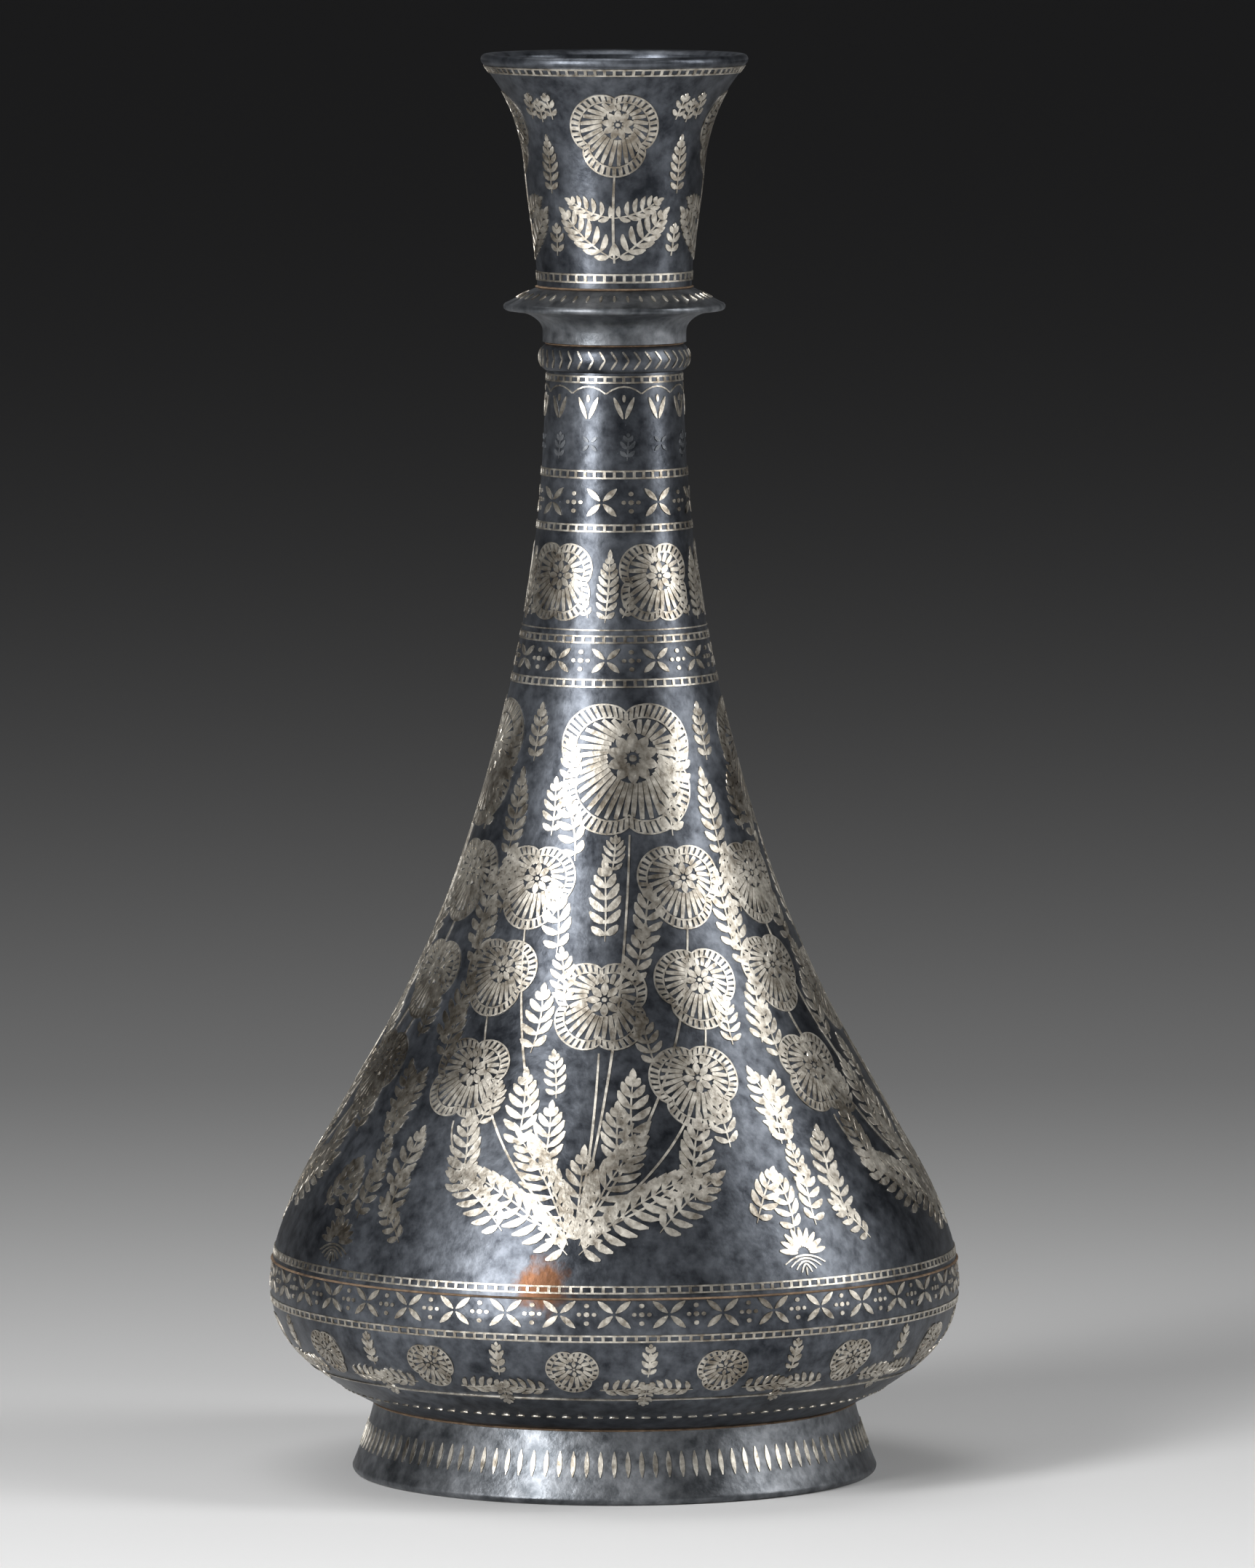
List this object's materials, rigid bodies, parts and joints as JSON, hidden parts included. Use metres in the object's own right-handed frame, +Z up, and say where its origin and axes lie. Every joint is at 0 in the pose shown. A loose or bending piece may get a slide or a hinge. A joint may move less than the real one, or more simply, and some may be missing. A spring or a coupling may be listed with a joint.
{
  "type": "bidri vase",
  "caption": "Blackened metal bottle vase with a broad belly, tall tapering neck, flanged collar and flaring mouth cup, inlaid with silver flowers and ladder bands.",
  "frame": {"origin": "centre of the foot on the surface that the vase stands on", "axes": "+Z up along the axis of the vase, -Y towards the viewer of the picture"},
  "size_m": [0.1166, 0.1166, 0.24],
  "materials": {
    "blackened_zinc": "blackened zinc alloy, semi-gloss, mottled bluish-grey patina with fine pits",
    "silver": "hammered silver inlay, warm grey-brown tarnish with bright worn spots",
    "solder": "rough brown soft solder"
  },
  "bodies": {
    "root": {"foot_ring": "blackened_zinc", "foot_solder": "solder", "bowl": "blackened_zinc", "belly_solder": "solder", "shoulder_and_neck": "blackened_zinc", "neck_solder": "solder", "collar": "blackened_zinc", "cup_solder": "solder", "mouth_cup": "blackened_zinc", "belly_lower_ladder": "silver", "belly_upper_ladder": "silver", "lower_cross_ladder": "silver", "upper_cross_ladder": "silver", "lower_star_ladder": "silver", "upper_star_ladder": "silver", "rope_ladder": "silver", "cup_ladder": "silver", "lip_ladder": "silver", "cup_flower_1": "silver", "cup_flower_2": "silver", "cup_flower_3": "silver", "cup_flower_4": "silver", "neck_flower_1": "silver", "neck_flower_2": "silver", "neck_flower_3": "silver", "neck_flower_4": "silver", "neck_flower_5": "silver", "crown_flower_1": "silver", "crown_flower_2": "silver", "crown_flower_3": "silver", "crown_flower_4": "silver", "pair_left_flower_1": "silver", "pair_left_flower_2": "silver", "pair_left_flower_3": "silver", "pair_left_flower_4": "silver", "pair_right_flower_1": "silver", "pair_right_flower_2": "silver", "pair_right_flower_3": "silver", "pair_right_flower_4": "silver"}
  },
  "joints": []
}
